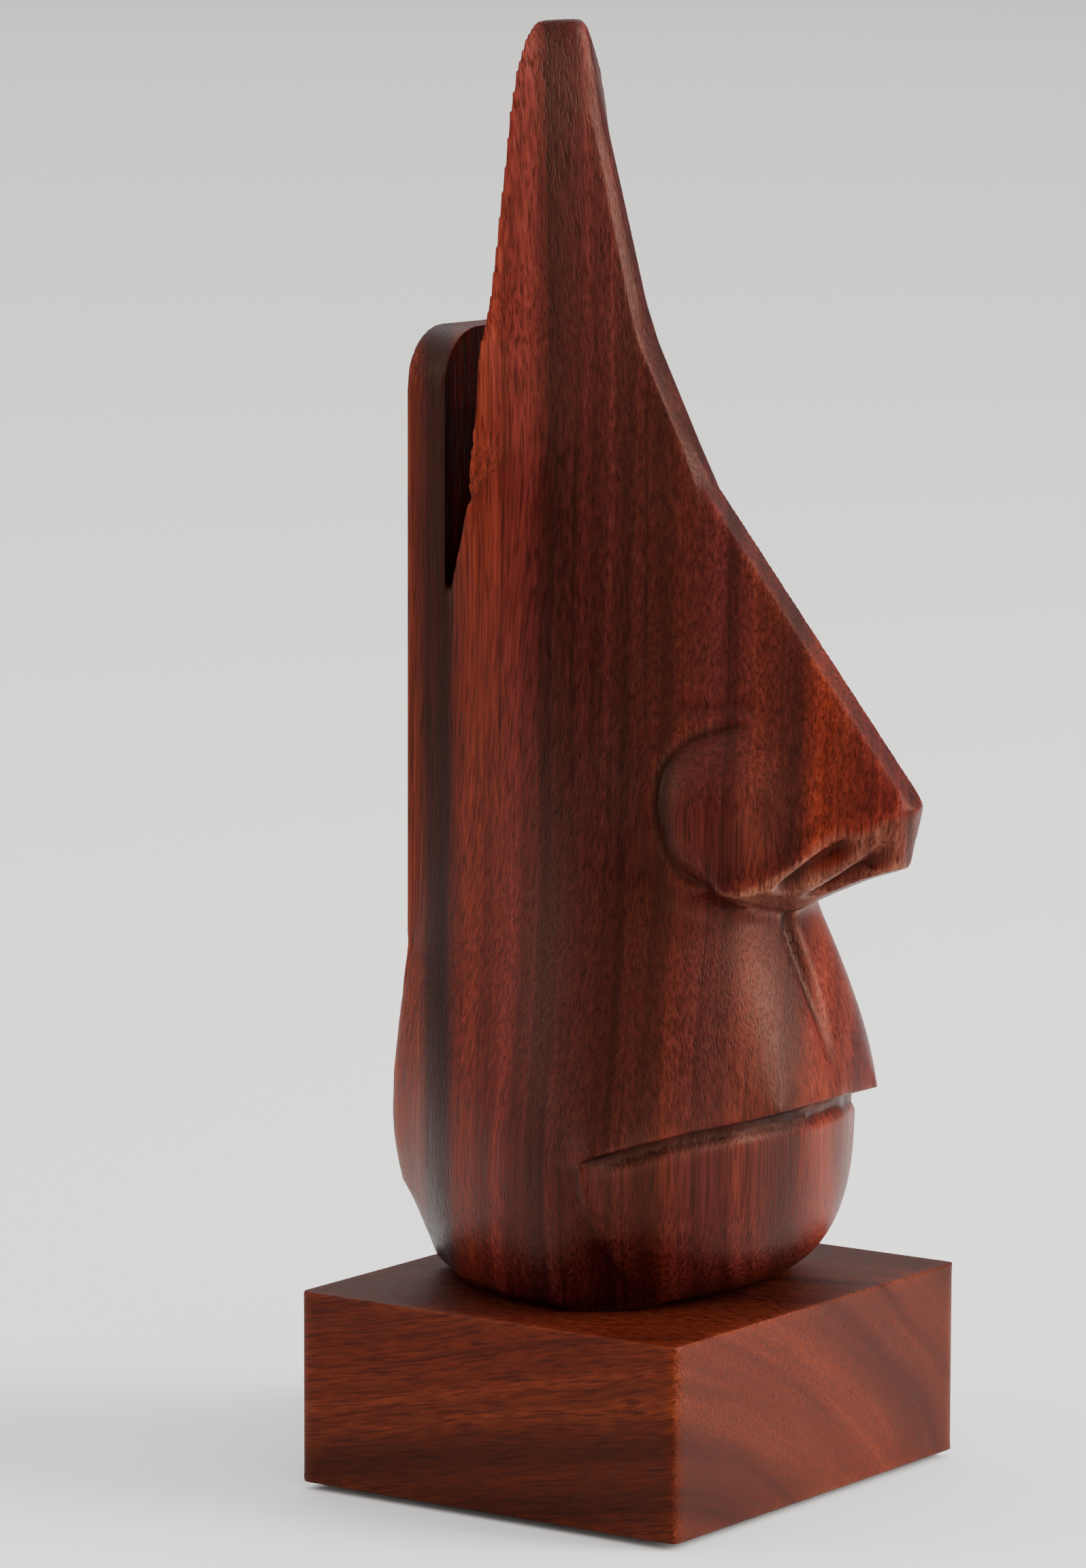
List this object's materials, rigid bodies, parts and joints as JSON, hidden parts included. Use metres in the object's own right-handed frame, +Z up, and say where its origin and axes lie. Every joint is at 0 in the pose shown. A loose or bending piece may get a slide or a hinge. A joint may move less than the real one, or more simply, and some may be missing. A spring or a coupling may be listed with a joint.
{
  "type": "eyeglasses display stand",
  "caption": "Hardwood eyeglasses stand carved as an abstract face with a long pointed brow, a sharp nose that holds the glasses, and a slot for the temples, on a square block.",
  "frame": {"origin": "centre of the bounding box on the surface that the stand rests on", "axes": "+Z up to the pointed brow, -Y towards the tip of the nose, +X to the face's left side"},
  "size_m": [0.052, 0.058, 0.1504],
  "materials": {
    "head_wood": "hand-carved, sanded and waxed sheesham, satin",
    "base_wood": "sawn, sanded and waxed sheesham, satin",
    "plug_wood": "sanded end of a hardwood dowel",
    "screw_steel": "yellow zinc plated",
    "pad_felt": "pressed wool felt"
  },
  "bodies": {
    "root": {"carved_head": "head_wood", "base_block": "base_wood", "screw_left": "screw_steel", "screw_right": "screw_steel", "screw_plug_left": "plug_wood", "screw_plug_right": "plug_wood", "felt_pad_front_left": "pad_felt", "felt_pad_front_right": "pad_felt", "felt_pad_back_left": "pad_felt", "felt_pad_back_right": "pad_felt"}
  },
  "joints": []
}
